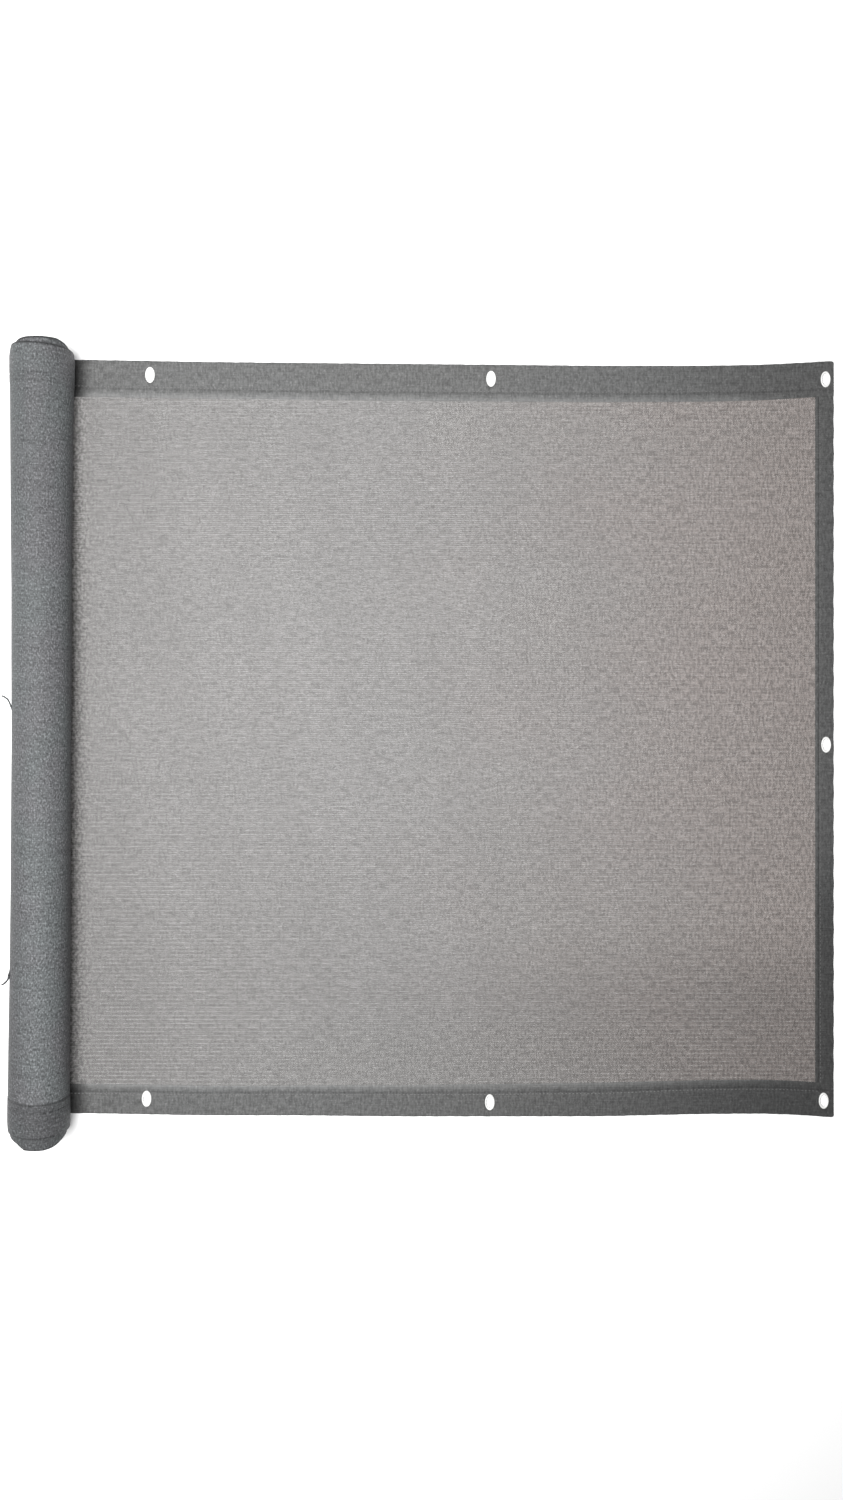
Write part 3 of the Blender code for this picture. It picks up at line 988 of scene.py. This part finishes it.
def make_stitches(name, centres, directions):
    """Copies the stitch to each centre that no eyelet covers, turned to its direction along the hem."""
    keep = clear_of_eyelets(centres)
    centres, directions = centres[keep], directions[keep]
    shape, quads, triangles = stitch_shape()
    sideways = np.stack([-directions[:, 1], directions[:, 0]], axis=-1)
    flat = shape[:, :1] * directions[:, None] + shape[:, 1:2] * sideways[:, None]
    points = np.concatenate([flat, np.broadcast_to(shape[:, 2:], flat.shape[:2] + (1,))], axis=-1)
    points = points + centres[:, None]
    offsets = (np.arange(len(centres)) * len(shape))[:, None, None]
    faces = list((quads[None] + offsets).reshape(-1, 4)) + list((triangles[None] + offsets).reshape(-1, 3))
    return new_piece(name, points.reshape(-1, 3), faces, THREAD, sharp_degrees=80.0)


def clear_of_eyelets(centres):
    """True for each centre that lies outside every eyelet's oval."""
    keep = np.ones(len(centres), bool)
    for node in EYELET_NODES:
        centre = centre_of(node)
        off = ((centres[:, 0] - centre.x) / COVERED_X) ** 2 + ((centres[:, 1] - centre.y) / COVERED_Y) ** 2
        keep &= off > 1.0
    return keep


def long_stitch_line(name, stitch, edge, inward_sign, seed):
    """Stitches along a long hem, in a line that follows its edge and weaves a little."""
    x = np.arange(FLAT_START_X + 0.003, RIGHT_EDGE_X - 0.003, STITCH_PITCH)
    y = edge(x) + inward_sign * (stitch(x) - STITCH_OUTSIDE) + STITCH_WEAVE * np.sin(40.0 * x + seed)
    z = HEM_HEIGHT * 0.97 + PUCKER_HEIGHT * puckers(x, stitch(x), stitch(x), seed) * 0.95
    centres = np.stack([x, y, z], axis=-1)
    slope = np.gradient(y, x)
    directions = np.stack([np.ones_like(x), slope], axis=-1)
    directions = directions / np.linalg.norm(directions, axis=1)[:, None]
    return make_stitches(name, centres, directions)


def end_stitch_line():
    """Stitches along the end hem, in a line that weaves a little."""
    low = float(bottom_inner(RIGHT_EDGE_X)) + 0.002
    high = float(top_inner(RIGHT_EDGE_X)) - 0.002
    y = np.arange(low, high, STITCH_PITCH)
    x = RIGHT_EDGE_X - END_STITCH + STITCH_OUTSIDE + STITCH_WEAVE * np.sin(45.0 * y)
    z = HEM_HEIGHT * 0.96 + END_PUCKER_HEIGHT * 0.95 * puckers(y, END_STITCH, END_STITCH, END_SEED)
    centres = np.stack([x, y, z], axis=-1)
    return make_stitches("end_stitches", centres, np.tile([0.0, 1.0], (len(y), 1)))


def thread():
    """Fluffy grey thread, hardly lighter than the knit and, like the hems, darker towards the free end:
    painted shade.
    """
    recipe = Recipe("thread")
    where = recipe.add("ShaderNodeTexCoord", {})["Object"]
    fluff = recipe.noise(where, 1400.0, 1400.0, 1400.0, detail=2.0)
    tone = recipe.mix(recipe.ramp(fluff, 0.3, 0.7), (0.085, 0.085, 0.085, 1.0), (0.16, 0.16, 0.158, 1.0))
    # Painted shade: darker towards the free end.
    tone = recipe.scaled_colour(tone, recipe.ramp(recipe.parts(where)[0], 0.20, 0.47, 1.0, 0.60))
    recipe.finish(Base_Color=tone, Roughness=0.7)
    recipe.bump(fluff, 0.3, 0.0002)
    return recipe.material


THREAD = thread()
top_stitches = long_stitch_line("top_stitches", top_stitch, top_edge, -1.0, TOP_SEED)
bottom_stitches = long_stitch_line("bottom_stitches", bottom_stitch, bottom_edge, 1.0, BOTTOM_SEED)
end_stitches = end_stitch_line()
stitch_lines = [top_stitches, bottom_stitches, end_stitches]
print("stitches:", [triangles_of(piece) for piece in stitch_lines], "triangles")

# %% [markdown]
# ## What each piece stands for
#
# The imported model has one body, so every piece rides on it, and the imported parts they replace are hidden.
# The cloth pieces make one cloth, 0.9 m by 5 m, with a flat length and a wound one.

# %% Tell the frame
for piece in [wound_cloth, *yarn_ends, flat_knit, *hem_folds.values(), *eyelet_rings, *stitch_lines]:
    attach(piece, "root")
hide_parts("rolled_cloth")
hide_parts("screen_field")
for node, piece in hem_folds.items():
    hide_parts(node)

# %% [markdown]
# ## Floor, light and camera
#
# The floor is plain white. A soft light high over the roll leaves the cloth dimmer towards its far corner.
# Another, low on the left, makes the roll bright on that side and shades the cloth on its right a little.
# The surroundings fill the shadows.
#
# The camera looks straight down. The size of its frame on the floor and its height give its lens. Its axis is
# above the frame's middle, so the lens is shifted a little.

# %% The floor
FLOOR_REACH = 6.0

corners = np.array([(-1, -1, 0), (1, -1, 0), (1, 1, 0), (-1, 1, 0)]) * FLOOR_REACH
floor_mesh = bpy.data.meshes.new("floor")
floor_mesh.from_pydata(corners.tolist(), [], [(0, 1, 2, 3)])
floor_white = Recipe("floor_white")
floor_white.finish(Base_Color=(0.92, 0.92, 0.92, 1.0), Roughness=0.9)
floor_mesh.materials.append(floor_white.material)
placed("floor", floor_mesh)

# %% The lights
# A row for each light: name, place, the point it is aimed at, width in metres, watts
LIGHTS = [
    ("high", (-0.44, 0.12, 1.60), (-0.56, 0.24, 0.00), 1.20, 56.0),
    ("side", (-2.20, 0.30, 0.95), (-0.45, 0.00, 0.03), 1.20, 15.0),
]
FILL = 0.30


def add_light(name, place, target, width, watts):
    """A round soft light, turned from its place to its target."""
    data = bpy.data.lights.new(name, "AREA")
    data.shape = "DISK"
    data.size = width
    data.energy = watts
    light = placed(name, data)
    light.location = place
    light.rotation_mode = "QUATERNION"
    light.rotation_quaternion = (Vector(target) - Vector(place)).to_track_quat("-Z", "Y")


for row in LIGHTS:
    add_light(*row)

world = bpy.data.worlds.new("surroundings")
world.use_nodes = True
background = world.node_tree.nodes["Background"]
background.inputs["Color"].default_value = (1.0, 1.0, 1.0, 1.0)
background.inputs["Strength"].default_value = FILL
scene.world = world
scene.view_settings.view_transform = "Standard"
scene.view_settings.look = "None"

# %% The camera
PHOTO_WIDTH, PHOTO_HEIGHT = 843, 1500
METRES_A_PIXEL = CLOTH_WIDTH / 753.0
CAMERA_HEIGHT = 1.32
AXIS_ROW = 635.0
MIDDLE_ROW_OF_CLOTH = 739.25
CAMERA_X = -0.0066

frame_height = PHOTO_HEIGHT * METRES_A_PIXEL
camera_data = bpy.data.cameras.new("camera")
camera_data.sensor_width = 36.0
camera_data.lens = camera_data.sensor_width * CAMERA_HEIGHT / frame_height
camera_data.shift_y = (AXIS_ROW - PHOTO_HEIGHT / 2.0) / PHOTO_HEIGHT
camera = placed("camera", camera_data)
camera.location = (CAMERA_X, (MIDDLE_ROW_OF_CLOTH - AXIS_ROW) * METRES_A_PIXEL, CAMERA_HEIGHT)
scene.camera = camera
print("frame on the floor:", round(PHOTO_WIDTH * METRES_A_PIXEL, 3), "by", round(frame_height, 3), "m")
